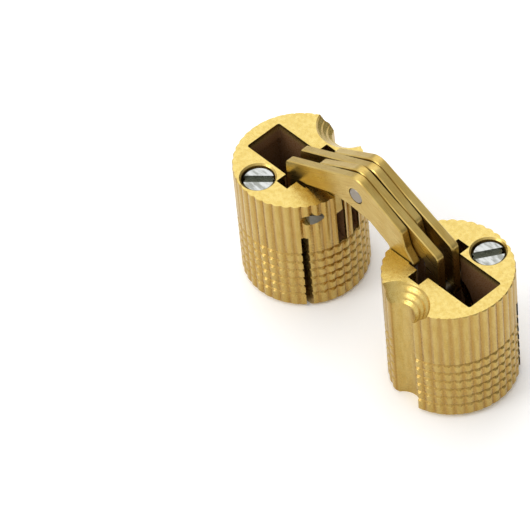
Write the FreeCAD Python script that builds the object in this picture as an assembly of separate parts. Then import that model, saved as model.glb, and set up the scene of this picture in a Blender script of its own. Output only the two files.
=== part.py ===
import FreeCAD, Part
import math
import os

# Driving dimensions, in millimetres
barrel_d = 16.0
barrel_h = 17.5
plate_t = 1.1
centre_pin_d = 2.1
pivot_pin_d = 1.5
guide_pin_d = 1.6
spread_screw_d = 4.0
wood_screw_d = 4.3
closed_gap = 0.4

# Clearances
plate_gap = 0.08
slot_gap = 0.24
comb_gap = 0.06
turn_fit = 0.04
press_fit = 0.02
guide_fit = 0.12
screw_fit = 0.06

# Barrel layout: u runs from the barrel axis towards the other barrel, v along the pins, z up from the face
barrel_r = barrel_d / 2
half_pitch = 1.581 * barrel_r
lane = plate_t + plate_gap
stack_half = 1.5 * lane + plate_t / 2
slot_half = 2 * lane + slot_gap
comb_half = lane / 2 + comb_gap
slot_far = 0.775 * barrel_r
slot_near = 0.495 * barrel_r
slot_corner = 0.3
relief_depth = 0.062 * barrel_r
relief_top = 0.3 * barrel_r
relief_foot = 1.72 * barrel_r
comb_depth = barrel_r
arm_half = slot_half + 0.19 * barrel_r
rim_chamfer = 0.15
foot_chamfer = 0.75

# Pivot, guide and centre axes in the open pose
pivot_u = 0.8 * barrel_r
pivot_z = -0.3 * barrel_r
guide_u = 0.1875 * barrel_r
centre_z = 0.6 * barrel_r
pivot_pin_near = -0.545 * barrel_r
pivot_pin_far = slot_half + 0.09 * barrel_r

# Screws and the spreading slit
screw_u = -0.19 * barrel_r
screw_v = -0.645 * barrel_r
screw_sink = 0.35
screw_body = 0.5 * barrel_r
screw_point = 0.22 * barrel_r
screw_tip_r = 0.4
screw_bore_chamfer = 0.2
screw_slot_w = 1.05
screw_slot_depth = 1.1
screw_slot_turn_a = 43.0
screw_slot_turn_b = 58.0
slit_v = -0.625 * barrel_r
slit_w = 0.66
slit_top = -0.68 * barrel_r
wood_u = 0.02 * barrel_r
wood_v = 1.03 * barrel_r
wood_sink_r = 0.49 * barrel_r

# Link plate outline in the open pose
link_top_z = 1.006 * barrel_r
link_top_x = 0.05 * barrel_r
knee_z = 0.381 * barrel_r
knee_u = 0.305 * barrel_r
guide_eye = guide_pin_d / 2 + 0.35
pivot_eye = math.sqrt(barrel_r ** 2 - stack_half ** 2) - pivot_u - 0.02
short_slope = math.radians(29.0)
eye_round = 0.85
plate_edge = 0.12
pin_edge = 0.12
pivot_pin_sink = 0.25

V = FreeCAD.Vector
ALONG_Y = V(0, 1, 0)
ALONG_Z = V(0, 0, 1)


def turned(point, about, angle):
    """Point (x, z) turned about another by an angle, from x towards z."""
    dx = point[0] - about[0]
    dz = point[1] - about[1]
    c = math.cos(angle)
    s = math.sin(angle)
    return (about[0] + c * dx - s * dz, about[1] + s * dx + c * dz)


# Travel from open to closed, in the frame of barrel a: the two link sets turn in a constant ratio
pivot = (pivot_u, pivot_z)
centre = (half_pitch, centre_z)
crank = math.hypot(centre[0] - pivot[0], centre[1] - pivot[1])
closed_dz = closed_gap / 2 - pivot[1]
closed_u = pivot[0] - math.sqrt(crank ** 2 - closed_dz ** 2)
open_angle = math.atan2(centre[1] - pivot[1], centre[0] - pivot[0])
closed_angle = math.atan2(closed_dz, closed_u - pivot[0])
crank_turn = closed_angle - open_angle
slide_turn = math.pi - crank_turn


def sliding_link_point(point, share):
    """A point of the sliding links after a share of the travel."""
    return turned(turned(point, centre, share * (slide_turn - crank_turn)), pivot, share * crank_turn)


def closed_offset(depth):
    """How far the guide pin lies from its groove line when closed, for a given depth when open."""
    return sliding_link_point((guide_u, -depth), 1.0)[0] - guide_u


low = 0.0
high = barrel_h
for _ in range(60):
    middle = (low + high) / 2
    if closed_offset(middle) > 0:
        high = middle
    else:
        low = middle
guide_depth = (low + high) / 2
guide = (guide_u, -guide_depth)
guide_path = [sliding_link_point(guide, n / 24) for n in range(25)]
guide_foot = guide_path[-1][1]


def on_a(u, v, z):
    """Place of a barrel point on barrel a."""
    return V(u - half_pitch, v, barrel_h + z)


def to_b(shape):
    """The same piece on the other side: half a turn about the hinge's upright axis."""
    other = shape.copy()
    other.rotate(V(0, 0, 0), ALONG_Z, 180)
    return other


def block(u0, u1, v0, v1, z0, z1):
    return Part.makeBox(u1 - u0, v1 - v0, z1 - z0, on_a(u0, v0, z0))


def pin_y(x, z, y0, y1, radius, edge):
    """A pin along the hinge axis with a small chamfer at each end."""
    pin = Part.makeCylinder(radius, y1 - y0, V(x, y0, z), ALONG_Y)
    ends = [e for e in pin.Edges if e.Closed]
    return pin.makeChamfer(edge, ends)


def rounded_wire(points, radii, y):
    """Closed outline in an upright plane, with each corner rounded by its own radius."""
    knots = [V(p[0], y, p[1]) for p in points]
    edges = []
    last = None
    first = None
    for i, corner in enumerate(knots):
        back = (knots[i - 1] - corner).normalize()
        ahead = (knots[(i + 1) % len(knots)] - corner).normalize()
        half = back.getAngle(ahead) / 2
        start = corner + back * (radii[i] / math.tan(half))
        end = corner + ahead * (radii[i] / math.tan(half))
        bisector = (back + ahead).normalize()
        mid = corner + bisector * (radii[i] / math.sin(half) - radii[i])
        if last is not None:
            edges.append(Part.makeLine(last, start))
        else:
            first = start
        edges.append(Part.Arc(start, mid, end).toShape())
        last = end
    edges.append(Part.makeLine(last, first))
    return Part.Wire(edges)


def guide_track(half_w):
    """Solid that clears the guide pin: straight entry, the path of the pin, straight exit."""
    sides = ([], [])
    for n, point in enumerate(guide_path):
        before = guide_path[max(n - 1, 0)]
        after = guide_path[min(n + 1, len(guide_path) - 1)]
        run = math.hypot(after[0] - before[0], after[1] - before[1])
        nx = -(after[1] - before[1]) / run
        nz = (after[0] - before[0]) / run
        sides[0].append(on_a(point[0] + half_w * nx, -arm_half, point[1] + half_w * nz))
        sides[1].append(on_a(point[0] - half_w * nx, -arm_half, point[1] - half_w * nz))
    left = Part.BSplineCurve()
    left.interpolate(sides[0])
    right = Part.BSplineCurve()
    right.interpolate(sides[1])
    edges = [left.toShape(), Part.makeLine(sides[0][-1], sides[1][-1])]
    edges += [right.toShape(), Part.makeLine(sides[1][0], sides[0][0])]
    outline = Part.Wire(Part.__sortEdges__(edges))
    track = Part.Face(outline).extrude(V(0, 2 * arm_half, 0))
    entry = block(guide_u - half_w, guide_u + half_w, -arm_half, arm_half, -guide_depth, 1)
    leave = block(guide_u - half_w, guide_u + half_w, -arm_half, arm_half, -barrel_h - 1, guide_foot)
    ends = []
    for point in (guide_path[0], guide_path[-1]):
        base = on_a(point[0], -arm_half, point[1])
        ends.append(Part.makeCylinder(half_w, 2 * arm_half, base, ALONG_Y))
    return track.multiFuse([entry, leave] + ends)


def lane_y(number):
    """Middle of a plate along the hinge axis, plates 1 to 4."""
    return (number - 2.5) * lane


def make_barrel():
    outline = [
        V(0, 0, 0),
        V(barrel_r - foot_chamfer, 0, 0),
        V(barrel_r, 0, foot_chamfer),
        V(barrel_r, 0, barrel_h - rim_chamfer),
        V(barrel_r - rim_chamfer, 0, barrel_h),
        V(0, 0, barrel_h),
        V(0, 0, 0),
    ]
    body = Part.Face(Part.makePolygon(outline)).revolve(V(0, 0, 0), ALONG_Z, 360)
    body.translate(V(-half_pitch, 0, 0))
    slot = block(-slot_far, slot_near, -slot_half, slot_half, -barrel_h - 1, 1)
    upright = [e for e in slot.Edges if abs(e.tangentAt(e.FirstParameter).z) > 0.9]
    cuts = [slot.makeFillet(slot_corner, upright)]
    relief_u = slot_far + relief_depth
    cuts.append(block(-relief_u, 0, -slot_half, slot_half, -relief_foot, -relief_top))
    for number in (2, 4):
        v = lane_y(number)
        cuts.append(block(0, barrel_r + 1, v - comb_half, v + comb_half, -comb_depth, 1))
    cuts.append(guide_track(guide_pin_d / 2 + guide_fit))
    bore_r = pivot_pin_d / 2 + press_fit
    bore_len = barrel_r + 1 + pivot_pin_far + pin_edge
    cuts.append(Part.makeCylinder(bore_r, bore_len, on_a(pivot_u, -barrel_r - 1, pivot_z), ALONG_Y))
    past = barrel_r + 1
    cuts.append(block(-past, past, slit_v - slit_w / 2, slit_v + slit_w / 2, -barrel_h - 1, slit_top))
    groove_r = wood_screw_d / 2
    cuts.append(Part.makeCylinder(groove_r, barrel_h + 2, on_a(wood_u, wood_v, -barrel_h - 1), ALONG_Z))
    sink = wood_sink_r - groove_r
    sink_foot = on_a(wood_u, wood_v, -sink)
    cuts.append(Part.makeCone(groove_r, wood_sink_r + 0.5, sink + 0.5, sink_foot, ALONG_Z))
    screw_r = spread_screw_d / 2 + screw_fit
    cuts.append(screw_shape(screw_r, screw_fit, 1))
    mouth = on_a(screw_u, screw_v, -screw_bore_chamfer)
    mouth_r = screw_r + 2 * screw_bore_chamfer
    cuts.append(Part.makeCone(screw_r, mouth_r, 2 * screw_bore_chamfer, mouth, ALONG_Z))
    return body.cut(cuts).removeSplitter()


def screw_shape(radius, slack, above):
    """Spread screw or, with slack and room above the face, its bore."""
    top = above if above > 0 else -screw_sink
    foot = -screw_sink - screw_body
    shank = Part.makeCylinder(radius, top - foot, on_a(screw_u, screw_v, foot), ALONG_Z)
    length = screw_point + slack
    tip = on_a(screw_u, screw_v, foot - length)
    cone = Part.makeCone(screw_tip_r + slack, radius, length, tip, ALONG_Z)
    return shank.fuse(cone).removeSplitter()


def make_screw(turn):
    screw = screw_shape(spread_screw_d / 2, 0, 0)
    top = on_a(screw_u, screw_v, -screw_sink)
    rim = [e for e in screw.Edges if e.Closed and abs(e.CenterOfMass.z - top.z) < 1e-6]
    screw = screw.makeChamfer(pin_edge, rim)
    reach = spread_screw_d
    cut = Part.makeBox(2 * reach, screw_slot_w, 2 * screw_slot_depth)
    cut.translate(top - V(reach, screw_slot_w / 2, screw_slot_depth))
    cut.rotate(top, ALONG_Z, turn)
    return screw.cut(cut)


def link_outline():
    """Corners and radii of a sliding link: guide leg, knee, bend over the centre, pivot leg."""
    leg_out = guide_u - guide_eye
    leg_in = guide_u + guide_eye
    far = 2 * half_pitch
    top = (half_pitch + link_top_x, link_top_z)
    slope = (top[1] - knee_z) / (top[0] - knee_u)
    step_u = far - 0.6375 * barrel_r
    step_z = top[1] - (step_u - top[0]) * math.tan(short_slope)
    eye_foot = pivot_z - pivot_eye
    corners = [
        (leg_out, -guide_depth - guide_eye, eye_round * guide_eye),
        (leg_out, top[1] - (top[0] - leg_out) * slope, 0.1125 * barrel_r),
        (top[0], top[1], 0.3 * barrel_r),
        (step_u, step_z, 0.1 * barrel_r),
        (far - 0.5625 * barrel_r, 0.2 * barrel_r, 0.15 * barrel_r),
        (far - 0.3875 * barrel_r, -0.0375 * barrel_r, 0.0625 * barrel_r),
        (far - pivot_u + pivot_eye, pivot_z, 0.0375 * barrel_r),
        (far - pivot_u + pivot_eye, eye_foot, eye_round * pivot_eye),
        (far - pivot_u - pivot_eye, eye_foot, eye_round * pivot_eye),
        (far - 0.925 * barrel_r, 0.031 * barrel_r, 0.0625 * barrel_r),
        (half_pitch + 0.28 * barrel_r, 0.25 * barrel_r, 0.19 * barrel_r),
        (half_pitch - 0.125 * barrel_r, 0.3 * barrel_r, 0.19 * barrel_r),
        (half_pitch - 0.4875 * barrel_r, 0.2875 * barrel_r, 0.15 * barrel_r),
        (0.5 * barrel_r, 0.05 * barrel_r, 0.1 * barrel_r),
        (leg_in, 0.0125 * barrel_r, 0.056 * barrel_r),
        (leg_in, -guide_depth - guide_eye, eye_round * guide_eye),
    ]
    points = [(u - half_pitch, barrel_h + z) for u, z, r in corners]
    return points, [r for u, z, r in corners]


def make_link(number, centre_fit):
    """Plate with its three holes, drawn as a sliding link of barrel a."""
    points, radii = link_outline()
    y0 = lane_y(number) - plate_t / 2
    plate = Part.Face(rounded_wire(points, radii, y0)).extrude(V(0, plate_t, 0))
    rims = [e for e in plate.Edges if abs(e.Vertexes[0].Y - e.Vertexes[-1].Y) < 1e-6]
    plate = plate.makeChamfer(plate_edge, rims)
    holes = [
        (0, barrel_h + centre_z, centre_pin_d / 2 + centre_fit),
        (guide_u - half_pitch, barrel_h - guide_depth, guide_pin_d / 2 + press_fit),
        (half_pitch - pivot_u, barrel_h + pivot_z, pivot_pin_d / 2 + turn_fit),
    ]
    for x, z, radius in holes:
        plate = plate.cut(Part.makeCylinder(radius, plate_t + 2, V(x, y0 - 1, z), ALONG_Y))
    return plate


pieces = {}
barrel = make_barrel()
pieces["barrel_a"] = barrel
pieces["barrel_b"] = to_b(barrel)
pieces["link_1"] = make_link(1, turn_fit)
pieces["link_3"] = make_link(3, turn_fit)
pieces["link_2"] = to_b(make_link(3, press_fit))
pieces["link_4"] = to_b(make_link(1, press_fit))
centre_pin_z = barrel_h + centre_z
pieces["centre_pin"] = pin_y(0, centre_pin_z, -stack_half, stack_half, centre_pin_d / 2, pin_edge)
pivot_pin = pin_y(
    pivot_u - half_pitch, barrel_h + pivot_z, pivot_pin_near, pivot_pin_far, pivot_pin_d / 2, pin_edge
)
pivot_pin = pivot_pin.common(Part.makeCylinder(barrel_r - pivot_pin_sink, barrel_h, on_a(0, 0, -barrel_h)))
pieces["pivot_pin_a"] = pivot_pin
pieces["pivot_pin_b"] = to_b(pivot_pin)
guide_half = arm_half - 0.1
guide_pin = pin_y(
    guide_u - half_pitch, barrel_h - guide_depth, -guide_half, guide_half, guide_pin_d / 2, pin_edge
)
pieces["guide_pin_a"] = guide_pin
pieces["guide_pin_b"] = to_b(guide_pin)
pieces["spread_screw_a"] = make_screw(screw_slot_turn_a)
pieces["spread_screw_b"] = to_b(make_screw(screw_slot_turn_b))

os.makedirs("parts", exist_ok=True)
for node, shape in pieces.items():
    shape.exportStep("parts/" + node + ".step")
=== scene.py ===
import math

import bmesh
import bpy
from mathutils import Matrix, Vector


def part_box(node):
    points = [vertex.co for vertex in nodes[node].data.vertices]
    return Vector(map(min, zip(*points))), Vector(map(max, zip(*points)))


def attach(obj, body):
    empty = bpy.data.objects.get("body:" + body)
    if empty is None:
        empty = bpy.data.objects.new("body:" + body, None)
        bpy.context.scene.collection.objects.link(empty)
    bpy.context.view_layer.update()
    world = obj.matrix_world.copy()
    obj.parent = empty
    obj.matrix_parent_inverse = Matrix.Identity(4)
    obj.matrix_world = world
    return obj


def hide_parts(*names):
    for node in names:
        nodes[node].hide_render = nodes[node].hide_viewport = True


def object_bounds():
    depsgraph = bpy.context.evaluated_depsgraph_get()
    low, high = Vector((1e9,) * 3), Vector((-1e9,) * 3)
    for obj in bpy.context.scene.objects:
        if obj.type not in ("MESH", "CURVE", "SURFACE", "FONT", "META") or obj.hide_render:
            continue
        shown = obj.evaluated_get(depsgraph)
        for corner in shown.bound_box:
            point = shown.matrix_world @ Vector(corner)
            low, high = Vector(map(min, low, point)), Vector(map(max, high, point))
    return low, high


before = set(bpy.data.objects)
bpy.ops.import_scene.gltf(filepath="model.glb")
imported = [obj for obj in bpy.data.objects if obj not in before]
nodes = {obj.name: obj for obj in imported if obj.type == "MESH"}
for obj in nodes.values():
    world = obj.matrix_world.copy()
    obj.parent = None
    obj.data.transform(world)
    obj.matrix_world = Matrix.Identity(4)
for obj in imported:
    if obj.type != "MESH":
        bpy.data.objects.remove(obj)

cad_low, cad_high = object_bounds()

# Sizes, in metres, from the frame
MM = 0.001
barrel_low, barrel_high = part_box("barrel_a")
BARREL_TOP = barrel_high.z
BARREL_R = (barrel_high.y - barrel_low.y) / 2
BARREL_AXIS = {
    "a": Vector((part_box("barrel_a")[0].x + BARREL_R, 0, 0)),
    "b": Vector((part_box("barrel_b")[1].x - BARREL_R, 0, 0)),
}

# Barrel b is barrel a turned half a turn about the upright axis
SIDE = {"a": 1, "b": -1}

# Knurl: flutes all the way up, ring grooves round the lower half
SKIN = 0.02 * MM
FLUTES = 40
FLUTE_STEPS = 12
FLUTE_DEPTH = 0.20 * MM
FLUTE_PHASE = {"a": 0.0, "b": math.radians(-3)}
RINGS = 6
RING_FIRST = 8.24 * MM
RING_PITCH = 1.40 * MM
RING_WIDTH = 0.56 * MM
RING_DEPTH = 0.26 * MM
RING_ROWS = (-0.5, -0.25, 0, 0.25, 0.5)

# Wood screw groove and slot in each barrel, from the barrel's axis
GROOVE_AT = Vector((0.16 * MM, 8.24 * MM, 0))
CONE_R = 3.92 * MM
CONE_DEPTH = 1.77 * MM
CONE_RINGS = 3
CONE_RING_DEPTH = 0.08 * MM
CONE_RING_GAP = 0.01 * MM
CONE_STEPS = 48
CONE_EXTRA_STEPS = 2
CONE_SIDES = 96
SLOT_HALF = 2.75 * MM

# Spreading screws
THREAD_PITCH = 0.7 * MM
THREAD_DEPTH = 0.30 * MM
THREAD_STEPS = 8
THREAD_SIDES = 48

# Cutting: how far a blank runs past the piece, what counts as one corner, which edges stay sharp
OVERRUN = 1.0 * MM
WELD = 0.0001 * MM
SLIVER = 0.001 * MM
SHARP_ANGLE = math.radians(32)


def new_object(name, mesh):
    """Puts a mesh in the scene as an object."""
    piece = bpy.data.objects.new(name, mesh)
    bpy.context.scene.collection.objects.link(piece)
    return piece


def welded_copy(name, node):
    """A copy of a CAD node with its split corners joined, so that it is closed."""
    mesh = nodes[node].data.copy()
    stored = mesh.attributes.get("custom_normal")
    if stored:
        mesh.attributes.remove(stored)
    edit = bmesh.new()
    edit.from_mesh(mesh)
    bmesh.ops.remove_doubles(edit, verts=edit.verts, dist=WELD)
    edit.to_mesh(mesh)
    edit.free()
    return new_object(name, mesh)


def closed_tube(name, centre, heights, sides, radius_at):
    """A closed round blank, with its radius given by angle and height."""
    edit = bmesh.new()
    rows = []
    for height in heights:
        row = []
        for side in range(sides):
            angle = 2 * math.pi * side / sides
            radius = radius_at(angle, height)
            row.append(edit.verts.new((
                centre.x + radius * math.cos(angle),
                centre.y + radius * math.sin(angle),
                height,
            )))
        rows.append(row)
    for low, high in zip(rows, rows[1:]):
        for side in range(sides):
            after = (side + 1) % sides
            edit.faces.new((low[side], low[after], high[after], high[side]))
    edit.faces.new(list(reversed(rows[0])))
    edit.faces.new(rows[-1])
    mesh = bpy.data.meshes.new(name)
    edit.to_mesh(mesh)
    edit.free()
    return new_object(name, mesh)


def carve(piece, blank, operation):
    """Cuts a piece with a blank: INTERSECT keeps what is inside it, DIFFERENCE what is outside."""
    cut = piece.modifiers.new("carve", "BOOLEAN")
    cut.operation = operation
    cut.solver = "EXACT"
    cut.object = blank
    bpy.context.view_layer.update()
    seen = piece.evaluated_get(bpy.context.evaluated_depsgraph_get())
    carved = bpy.data.meshes.new_from_object(seen)
    piece.modifiers.clear()
    piece.data = carved
    bpy.data.objects.remove(blank)


def smooth_and_clean(piece):
    """Takes out the slivers, flaps and fins that the cuts left, and shades the piece smooth."""
    edit = bmesh.new()
    edit.from_mesh(piece.data)
    bmesh.ops.remove_doubles(edit, verts=edit.verts, dist=SLIVER)
    bmesh.ops.dissolve_degenerate(edit, edges=edit.edges, dist=SLIVER)
    bmesh.ops.triangulate(edit, faces=edit.faces)
    same_corners = {}
    for face in edit.faces:
        same_corners.setdefault(frozenset(face.verts), []).append(face)
    flaps = [face for group in same_corners.values() if len(group) > 1 for face in group]
    bmesh.ops.delete(edit, geom=flaps, context="FACES")
    fins = [face for face in edit.faces if any(edge.is_boundary for edge in face.edges)]
    bmesh.ops.delete(edit, geom=fins, context="FACES")
    edit.to_mesh(piece.data)
    edit.free()
    piece.data.shade_smooth()
    piece.data.set_sharp_from_angle(angle=SHARP_ANGLE)


# Knurled barrels


def flute_depth(angle, phase):
    """Rounded ridges with a sharp valley between them."""
    return FLUTE_DEPTH * (1 - abs(math.cos(FLUTES / 2 * (angle - phase))))


def ring_depth(height):
    """V grooves round the lower half of the barrel."""
    depth = 0.0
    for ring in range(RINGS):
        middle = BARREL_TOP - RING_FIRST - ring * RING_PITCH
        away = abs(height - middle) / (RING_WIDTH / 2)
        depth = max(depth, RING_DEPTH * (1 - away))
    return depth


def knurl_heights():
    """Rows of the knurled blank: close together only where the rings are."""
    heights = [barrel_low.z - OVERRUN, BARREL_TOP + OVERRUN]
    for ring in range(RINGS):
        middle = BARREL_TOP - RING_FIRST - ring * RING_PITCH
        for part in RING_ROWS:
            heights.append(middle + part * RING_WIDTH)
    return sorted(heights)


def cone_blank(side):
    """A cone with shallow rings, which the cutter left in the countersink."""
    foot = BARREL_TOP - CONE_DEPTH

    def radius_at(angle, height):
        up = (height - foot) / CONE_DEPTH
        ring = 0.0
        if 0 < up < 1:
            ring = CONE_RING_DEPTH * math.sin(math.pi * CONE_RINGS * up) ** 2
        return CONE_R - CONE_DEPTH + (height - foot) + ring - CONE_RING_GAP

    step = CONE_DEPTH / CONE_STEPS
    rows = range(-CONE_EXTRA_STEPS, CONE_STEPS + CONE_EXTRA_STEPS + 1)
    heights = [foot + row * step for row in rows]
    centre = BARREL_AXIS[side] + SIDE[side] * GROOVE_AT
    return closed_tube("cone_blank", centre, heights, CONE_SIDES, radius_at)


def make_barrel(side, material):
    """The CAD barrel with its knurl and the rings in its countersink cut in."""
    tip = BARREL_R - SKIN

    def radius_at(angle, height):
        return tip - max(flute_depth(angle, FLUTE_PHASE[side]), ring_depth(height))

    barrel = welded_copy(f"barrel_{side}_knurled", f"barrel_{side}")
    blank = closed_tube(
        "knurl_blank", BARREL_AXIS[side], knurl_heights(), FLUTES * FLUTE_STEPS, radius_at
    )
    carve(barrel, blank, "INTERSECT")
    carve(barrel, cone_blank(side), "DIFFERENCE")
    smooth_and_clean(barrel)
    barrel.data.materials.clear()
    barrel.data.materials.append(material)
    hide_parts(f"barrel_{side}")
    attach(barrel, f"barrel_{side}")


# Threaded spreading screws


def make_screw(side, material):
    """The CAD screw with its thread cut in."""
    low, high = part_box(f"spread_screw_{side}")
    centre = (low + high) / 2
    major = (high.y - low.y) / 2 - SKIN

    def radius_at(angle, height):
        turn = height / THREAD_PITCH - angle / (2 * math.pi)
        across = abs(2 * (turn - math.floor(turn)) - 1)
        return major - THREAD_DEPTH * across

    step = THREAD_PITCH / THREAD_STEPS
    rows = math.ceil((high.z - low.z + 2 * OVERRUN) / step)
    heights = [low.z - OVERRUN + row * step for row in range(rows + 1)]
    screw = welded_copy(f"spread_screw_{side}_threaded", f"spread_screw_{side}")
    blank = closed_tube("thread_blank", centre, heights, THREAD_SIDES, radius_at)
    carve(screw, blank, "INTERSECT")
    smooth_and_clean(screw)
    screw.data.materials.clear()
    screw.data.materials.append(material)
    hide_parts(f"spread_screw_{side}")
    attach(screw, f"screw_{side}")


# Materials

# Sockets of a colour mix, where several share a name
COLOUR_FIRST = 6
COLOUR_SECOND = 7
COLOUR_RESULT = 2

# Levels that most of a noise lies between
NOISE_MOST = (0.3, 0.7)
NOISE_MIDDLE = (0.35, 0.65)


class Finish:
    """A node material built up from small steps."""

    def __init__(self, name):
        self.material = bpy.data.materials.new(name)
        self.material.use_nodes = True
        self.tree = self.material.node_tree
        self.shader = self.tree.nodes["Principled BSDF"]
        self.coords = self.add("ShaderNodeTexCoord")
        self.shader.inputs["Metallic"].default_value = 1.0

    def add(self, kind, **settings):
        node = self.tree.nodes.new(kind)
        for name, value in settings.items():
            setattr(node, name, value)
        return node

    def put(self, socket, value):
        """Links an output to a socket, or sets a plain value on it."""
        if isinstance(value, bpy.types.NodeSocket):
            self.tree.links.new(value, socket)
        else:
            socket.default_value = value

    def math(self, operation, *values):
        node = self.add("ShaderNodeMath", operation=operation)
        for socket, value in zip(node.inputs, values):
            self.put(socket, value)
        return node.outputs[0]

    def mapped(self, location=(0, 0, 0), scale=(1, 1, 1)):
        """Object coordinates, scaled and moved."""
        node = self.add("ShaderNodeMapping")
        self.put(node.inputs["Vector"], self.coords.outputs["Object"])
        node.inputs["Location"].default_value = location
        node.inputs["Scale"].default_value = scale
        return node.outputs["Vector"]

    def split(self, vector):
        node = self.add("ShaderNodeSeparateXYZ")
        self.put(node.inputs[0], vector)
        return node.outputs

    def length(self, vector):
        node = self.add("ShaderNodeVectorMath", operation="LENGTH")
        self.put(node.inputs[0], vector)
        return node.outputs["Value"]

    def noise(self, size, vector=None, detail=3.0, roughness=0.5):
        """Noise with features of about one size, in metres."""
        node = self.add("ShaderNodeTexNoise")
        self.put(node.inputs["Vector"], vector or self.coords.outputs["Object"])
        node.inputs["Scale"].default_value = 1 / size
        node.inputs["Detail"].default_value = detail
        node.inputs["Roughness"].default_value = roughness
        return node.outputs["Fac"]

    def ranged(self, value, low, high, to_low=0.0, to_high=1.0):
        """Maps a value smoothly from one range to another."""
        node = self.add("ShaderNodeMapRange", interpolation_type="SMOOTHSTEP")
        self.put(node.inputs["Value"], value)
        node.inputs["From Min"].default_value = low
        node.inputs["From Max"].default_value = high
        node.inputs["To Min"].default_value = to_low
        node.inputs["To Max"].default_value = to_high
        return node.outputs["Result"]

    def blend(self, factor, first, second):
        node = self.add("ShaderNodeMix", data_type="RGBA")
        self.put(node.inputs["Factor"], factor)
        self.put(node.inputs[COLOUR_FIRST], first)
        self.put(node.inputs[COLOUR_SECOND], second)
        return node.outputs[COLOUR_RESULT]

    def bump(self, height, distance, normal=None):
        """Fine relief of a height from 0 to 1 times a distance in metres."""
        node = self.add("ShaderNodeBump")
        node.inputs["Strength"].default_value = 1.0
        node.inputs["Distance"].default_value = distance
        self.put(node.inputs["Height"], height)
        if normal is not None:
            self.put(node.inputs["Normal"], normal)
        return node.outputs["Normal"]


def colour(red, green, blue):
    """A linear colour from screen values of 0 to 255."""
    def linear(value):
        part = value / 255
        return part / 12.92 if part <= 0.04045 else ((part + 0.055) / 1.055) ** 2.4
    return (linear(red), linear(green), linear(blue), 1.0)


BRASS = colour(194, 170, 96)
BRASS_PALE = colour(204, 183, 112)
BRASS_DEEP = colour(158, 114, 52)
BRASS_SLOT_SHADE = colour(116, 80, 58)

# Barrel finish, side or face: by how far the surface faces up or down
UPRIGHT_BELOW = 0.55
FLAT_ABOVE = 0.95

# Barrel finish, knurl: below the barrel's radius, in flute depths
CREST = (0.8, 0.15)
KNURL = (2.2, 1.8)

# Barrel finish, slot: where its painted shade comes in, from its sides, the foot and the face
SLOT_EDGE = 0.1 * MM
SLOT_FOOT = (0.6 * MM, 1.0 * MM)
SLOT_SHADE = (1.4 * MM, 0.1 * MM)

# Barrel finish, marks: their sizes and depths
STREAK_STRETCH = 0.25
MOTTLE_SIZE = 0.5 * MM
SPECK_SIZE = 0.16 * MM
SPECK_LEVELS = (0.5, 0.75)
FINE_SIZE = 0.12 * MM
FINE_DEPTH = 0.006 * MM
PIT_SIZE = 0.3 * MM
PIT_DEPTH = 0.022 * MM
BARREL_ROUGH = (0.23, 0.36)

# Barrel finish, colour: the share of darker brass in each place: random specks, and painted shade
# on the knurled sides, in the knurl valleys and inside the slot
SPECKS_ON_FACE = 0.45
SPECKS_ON_SIDE = 0.20
SIDE_PAINTED_SHADE = 0.33
VALLEY_PAINTED_SHADE = 0.48
SLOT_PAINTED_SHADE = 0.9


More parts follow.
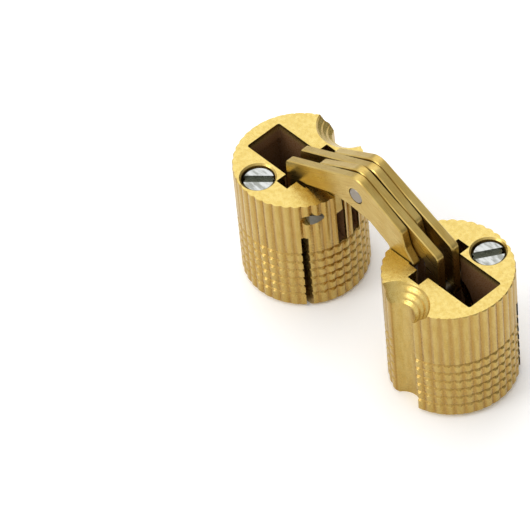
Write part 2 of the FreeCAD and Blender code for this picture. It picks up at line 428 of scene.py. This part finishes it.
def barrel_finish(side):
    """Turned brass with bright faces, and painted shade on the knurled sides, in the knurl's
    valleys and inside the slot.
    """
    finish = Finish(f"barrel_brass_{side}")
    out = finish.length(finish.mapped(location=-BARREL_AXIS[side], scale=(1, 1, 0)))
    _, y, z = finish.split(finish.coords.outputs["Object"])
    flat = finish.math("ABSOLUTE", finish.split(finish.coords.outputs["Normal"])[2])
    upright = finish.ranged(flat, UPRIGHT_BELOW, FLAT_ABOVE, 1.0, 0.0)

    # Painted shade in the valleys of the knurl
    crest = finish.ranged(out, *(BARREL_R - share * FLUTE_DEPTH for share in CREST))
    outside = finish.ranged(out, *(BARREL_R - share * FLUTE_DEPTH for share in KNURL))
    knurled = finish.math("MULTIPLY", outside, upright)
    valley_shade = finish.math("MULTIPLY", knurled, finish.math("SUBTRACT", 1.0, crest))

    # Painted shade inside the slot, as dark brass that is not metallic, from just below the face
    # down to the foot's chamfer
    across = finish.math("ABSOLUTE", y)
    in_slot = finish.ranged(across, SLOT_HALF, SLOT_HALF + SLOT_EDGE, 1.0, 0.0)
    inside = finish.math("MULTIPLY", in_slot, finish.math("SUBTRACT", 1.0, outside))
    above_foot = finish.ranged(z, *(barrel_low.z + rise for rise in SLOT_FOOT))
    below_face = finish.ranged(z, *(BARREL_TOP - drop for drop in SLOT_SHADE), 1.0, 0.0)
    sunk_shade = finish.math("MULTIPLY", finish.math("MULTIPLY", inside, above_foot), below_face)

    # Colour
    streaked = finish.mapped(scale=(1, 1, STREAK_STRETCH))
    mottle = finish.noise(MOTTLE_SIZE, vector=streaked, detail=5)
    tone = finish.blend(finish.ranged(mottle, *NOISE_MIDDLE), BRASS, BRASS_PALE)
    speck = finish.noise(SPECK_SIZE, vector=streaked, detail=3, roughness=0.7)
    speck_share = finish.ranged(upright, 0.0, 1.0, SPECKS_ON_FACE, SPECKS_ON_SIDE)
    specks = finish.math("MULTIPLY", finish.ranged(speck, *SPECK_LEVELS), speck_share)
    tone = finish.blend(specks, tone, BRASS_DEEP)
    # Painted shade: the knurled sides are darker than the faces
    tone = finish.blend(finish.math("MULTIPLY", upright, SIDE_PAINTED_SHADE), tone, BRASS_DEEP)
    # Painted shade in the knurl valleys
    tone = finish.blend(finish.math("MULTIPLY", valley_shade, VALLEY_PAINTED_SHADE), tone, BRASS_DEEP)
    # Painted shade inside the slot, in dark brass
    tone = finish.blend(finish.math("MULTIPLY", sunk_shade, SLOT_PAINTED_SHADE), tone, BRASS_SLOT_SHADE)
    finish.put(finish.shader.inputs["Base Color"], tone)
    # The painted slot shade is also not metallic
    finish.put(finish.shader.inputs["Metallic"], finish.math("SUBTRACT", 1.0, sunk_shade))

    # Fine grain all over, and pits on the flat faces
    fine = finish.noise(FINE_SIZE, detail=2)
    finish.put(finish.shader.inputs["Roughness"], finish.ranged(fine, *NOISE_MOST, *BARREL_ROUGH))
    face = finish.math("SUBTRACT", 1.0, upright)
    pits = finish.math("MULTIPLY", finish.noise(PIT_SIZE, detail=4, roughness=0.6), face)
    grain = finish.bump(pits, PIT_DEPTH, normal=finish.bump(fine, FINE_DEPTH))
    finish.put(finish.shader.inputs["Normal"], grain)
    return finish.material


# Link finish: rolling lines that follow both slopes of the plate
LINK_SLOPE = 0.50
LINE_STRETCH = 0.06
LINE_SIZE = 0.16 * MM
LINE_DEPTH = 0.006 * MM
LINE_LEVELS = (0.45, 0.8)
LINE_DULLED = (0.25, 0.55)
LINK_APART = 7 * MM
CLOUD_SIZE = 2.5 * MM
LINK_ROUGH = (0.26, 0.38)


def link_finish(number):
    """Stamped sheet brass with lines of the rolling along the plate."""
    finish = Finish(f"link_brass_{number}")
    x, y, z = finish.split(finish.coords.outputs["Object"])
    away = finish.math("ABSOLUTE", x)
    bent = finish.add("ShaderNodeCombineXYZ")
    finish.put(bent.inputs["X"], finish.math("MULTIPLY", x, LINE_STRETCH))
    finish.put(bent.inputs["Y"], finish.math("ADD", y, number * LINK_APART))
    finish.put(bent.inputs["Z"], finish.math("MULTIPLY_ADD", away, LINK_SLOPE, z))
    lines = finish.noise(LINE_SIZE, vector=bent.outputs["Vector"], detail=4)
    cloud = finish.noise(CLOUD_SIZE, detail=2)
    tone = finish.blend(finish.ranged(cloud, *NOISE_MIDDLE), BRASS, BRASS_PALE)
    tone = finish.blend(finish.ranged(lines, *LINE_LEVELS, *LINE_DULLED), tone, BRASS_DEEP)
    finish.put(finish.shader.inputs["Base Color"], tone)
    finish.put(finish.shader.inputs["Roughness"], finish.ranged(lines, *NOISE_MOST, *LINK_ROUGH))
    finish.put(finish.shader.inputs["Normal"], finish.bump(lines, LINE_DEPTH))
    return finish.material


# Pin finish: the centre pin is brighter than the pins inside, whose darker steel is painted shade
PIN_DARK = colour(116, 109, 102)
PIN_PALE = colour(172, 164, 152)
SHADED_INNER_PIN_DARK = colour(84, 82, 76)
SHADED_INNER_PIN_PALE = colour(134, 132, 122)
PIN_GRAIN_SIZE = 0.15 * MM
PIN_GRAIN_DEPTH = 0.008 * MM
PIN_ROUGH = (0.30, 0.48)


def pin_finish(name, dark, pale):
    """Drawn steel wire, cut off and lightly dulled."""
    finish = Finish(name)
    grain = finish.noise(PIN_GRAIN_SIZE, detail=4)
    finish.put(finish.shader.inputs["Base Color"], finish.blend(grain, dark, pale))
    finish.put(finish.shader.inputs["Roughness"], finish.ranged(grain, *NOISE_MOST, *PIN_ROUGH))
    finish.put(finish.shader.inputs["Normal"], finish.bump(grain, PIN_GRAIN_DEPTH))
    return finish.material


# Screw finish: streaks and scratches along x, and painted shade in the drive slot
SCREW_PALE = colour(180, 182, 180)
SCREW_GREY = colour(132, 134, 128)
SCREW_SLOT_SHADE = colour(160, 162, 152)
DRIVE_SLOT_SHADE = (0.7 * MM, 0.15 * MM)
SCRATCH_SIZE = 0.10 * MM
SCRATCH_DEPTH = 0.006 * MM
SCRATCH_STRETCH = 0.3
PLATING_SIZE = 0.5 * MM
PLATING_STRETCH = 0.35
PLATING_LEVELS = (0.36, 0.62)
SCREW_ROUGH = (0.14, 0.28)


def screw_finish():
    """Bright plated steel with fine scratches."""
    finish = Finish("screw_steel")
    z = finish.split(finish.coords.outputs["Object"])[2]
    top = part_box("spread_screw_a")[1].z
    # Painted shade down in the drive slot, fading out just below the screw's top
    sunk_shade = finish.ranged(z, *(top - drop for drop in DRIVE_SLOT_SHADE), 1.0, 0.0)
    scratched = finish.mapped(scale=(SCRATCH_STRETCH, 1, 1))
    scratches = finish.noise(SCRATCH_SIZE, vector=scratched, detail=3)
    streaked = finish.mapped(scale=(PLATING_STRETCH, 1, 1))
    plating = finish.noise(PLATING_SIZE, vector=streaked, detail=4)
    tone = finish.blend(finish.ranged(plating, *PLATING_LEVELS), SCREW_GREY, SCREW_PALE)
    finish.put(finish.shader.inputs["Base Color"], finish.blend(sunk_shade, tone, SCREW_SLOT_SHADE))
    rough = finish.ranged(scratches, *NOISE_MOST, *SCREW_ROUGH)
    finish.put(finish.shader.inputs["Roughness"], rough)
    finish.put(finish.shader.inputs["Normal"], finish.bump(scratches, SCRATCH_DEPTH))
    return finish.material


def dress(node, material):
    """Gives a carried-over CAD node its finish."""
    slots = nodes[node].material_slots
    for slot in slots:
        slot.material = material
    if not slots:
        nodes[node].data.materials.append(material)


# Stage: floor, light and camera

FLOOR_HALF = 3.0
FLOOR_CELLS = 8
FLOOR_COLOUR = (0.85, 0.85, 0.85, 1.0)
FLOOR_SEEN = (1.11, 1.11, 1.11, 1.0)
WORLD_COLOUR = (1.0, 1.0, 1.0, 1.0)
WORLD_DIM = 0.33
WORLD_BRIGHT = 1.27
WORLD_TOWARDS = Vector((-0.45, -0.55, 0.70))
WORLD_FACING = (-0.4, 0.95)
KEY_STRENGTH = 0.47
KEY_SPREAD = math.radians(50)
KEY_TOWARDS = Vector((-0.518, 0.445, 0.730))
FILL_STRENGTH = 0.56
FILL_SPREAD = math.radians(25)
FILL_TOWARDS = Vector((-0.28, -0.74, 0.60))

IMAGE_SIZE = 530
FOCUS_PIXEL = (372.02, 213.62)
SENSOR = 36.0
LENS = 308.8
CLIP_START = 0.01
CAMERA_DISTANCE = 0.5336
CAMERA_AZIMUTH = math.radians(49.346)
CAMERA_ELEVATION = math.radians(46.923)
CAMERA_ROLL = math.radians(-4.439)


def add_floor():
    """A pale floor that looks white and keeps the hinge's shadow."""
    edit = bmesh.new()
    bmesh.ops.create_grid(edit, x_segments=FLOOR_CELLS, y_segments=FLOOR_CELLS, size=FLOOR_HALF)
    mesh = bpy.data.meshes.new("floor")
    edit.to_mesh(mesh)
    edit.free()
    floor = new_object("floor", mesh)
    floor.location.z = cad_low.z
    finish = Finish("floor")
    finish.shader.inputs["Metallic"].default_value = 0.0
    finish.shader.inputs["Roughness"].default_value = 1.0
    finish.shader.inputs["Specular IOR Level"].default_value = 0.0
    path = finish.add("ShaderNodeLightPath").outputs
    seen = finish.math("MAXIMUM", path["Is Camera Ray"], path["Is Glossy Ray"])
    seen = finish.math("MAXIMUM", seen, path["Is Transmission Ray"])
    finish.put(finish.shader.inputs["Base Color"], finish.blend(seen, FLOOR_COLOUR, FLOOR_SEEN))
    mesh.materials.append(finish.material)


def add_lamp(name, strength, spread, towards):
    """A broad lamp far away in one direction."""
    lamp = bpy.data.lights.new(name, "SUN")
    lamp.energy = strength
    lamp.angle = spread
    placed = new_object(name, lamp)
    placed.rotation_euler = towards.to_track_quat("Z", "Y").to_euler()


def add_light():
    """Soft light that is brightest from one side, with two broad lamps."""
    world = bpy.data.worlds.new("studio")
    bpy.context.scene.world = world
    world.use_nodes = True
    tree = world.node_tree
    background = tree.nodes["Background"]
    background.inputs["Color"].default_value = WORLD_COLOUR
    sky = tree.nodes.new("ShaderNodeTexCoord")
    facing = tree.nodes.new("ShaderNodeVectorMath")
    facing.operation = "DOT_PRODUCT"
    facing.inputs[1].default_value = WORLD_TOWARDS.normalized()
    level = tree.nodes.new("ShaderNodeMapRange")
    level.inputs["From Min"].default_value = WORLD_FACING[0]
    level.inputs["From Max"].default_value = WORLD_FACING[1]
    level.inputs["To Min"].default_value = WORLD_DIM
    level.inputs["To Max"].default_value = WORLD_BRIGHT
    tree.links.new(sky.outputs["Generated"], facing.inputs[0])
    tree.links.new(facing.outputs["Value"], level.inputs["Value"])
    tree.links.new(level.outputs["Result"], background.inputs["Strength"])
    add_lamp("key", KEY_STRENGTH, KEY_SPREAD, KEY_TOWARDS)
    add_lamp("fill", FILL_STRENGTH, FILL_SPREAD, FILL_TOWARDS)


def add_camera():
    """Stands where the photograph was taken from, with the object's middle on its pixel."""
    flat = math.cos(CAMERA_ELEVATION)
    back = Vector((
        math.sin(CAMERA_AZIMUTH) * flat,
        -math.cos(CAMERA_AZIMUTH) * flat,
        math.sin(CAMERA_ELEVATION),
    ))
    level = Vector((math.cos(CAMERA_AZIMUTH), math.sin(CAMERA_AZIMUTH), 0))
    right = Matrix.Rotation(CAMERA_ROLL, 3, back) @ level
    up = back.cross(right)
    aimed = Matrix((right, up, back)).transposed()
    pixels = LENS / SENSOR * IMAGE_SIZE
    ray = Vector((
        (FOCUS_PIXEL[0] - IMAGE_SIZE / 2) / pixels,
        (IMAGE_SIZE / 2 - FOCUS_PIXEL[1]) / pixels,
        -1,
    ))
    turn = ray.rotation_difference(Vector((0, 0, -1))).to_matrix()
    focus = Vector((0, 0, BARREL_TOP))
    lens = bpy.data.cameras.new("camera")
    lens.lens = LENS
    lens.sensor_width = SENSOR
    lens.clip_start = CLIP_START
    camera = new_object("camera", lens)
    camera.matrix_world = (
        Matrix.Translation(focus + back * CAMERA_DISTANCE) @ (aimed @ turn).to_4x4()
    )
    bpy.context.scene.camera = camera


screw_steel = screw_finish()
for side in SIDE:
    make_barrel(side, barrel_finish(side))
    make_screw(side, screw_steel)
for number in (1, 2, 3, 4):
    dress(f"link_{number}", link_finish(number))
dress("centre_pin", pin_finish("pin_steel", PIN_DARK, PIN_PALE))
# The pins inside the barrels get a darker copy of the steel, painted shade for their holes
shaded_inner_steel = pin_finish("inner_pin_steel_painted_shade", SHADED_INNER_PIN_DARK, SHADED_INNER_PIN_PALE)
for pin in ("pivot_pin_a", "pivot_pin_b", "guide_pin_a", "guide_pin_b"):
    dress(pin, shaded_inner_steel)

add_floor()
add_light()
add_camera()
bpy.context.scene.view_settings.view_transform = "Standard"
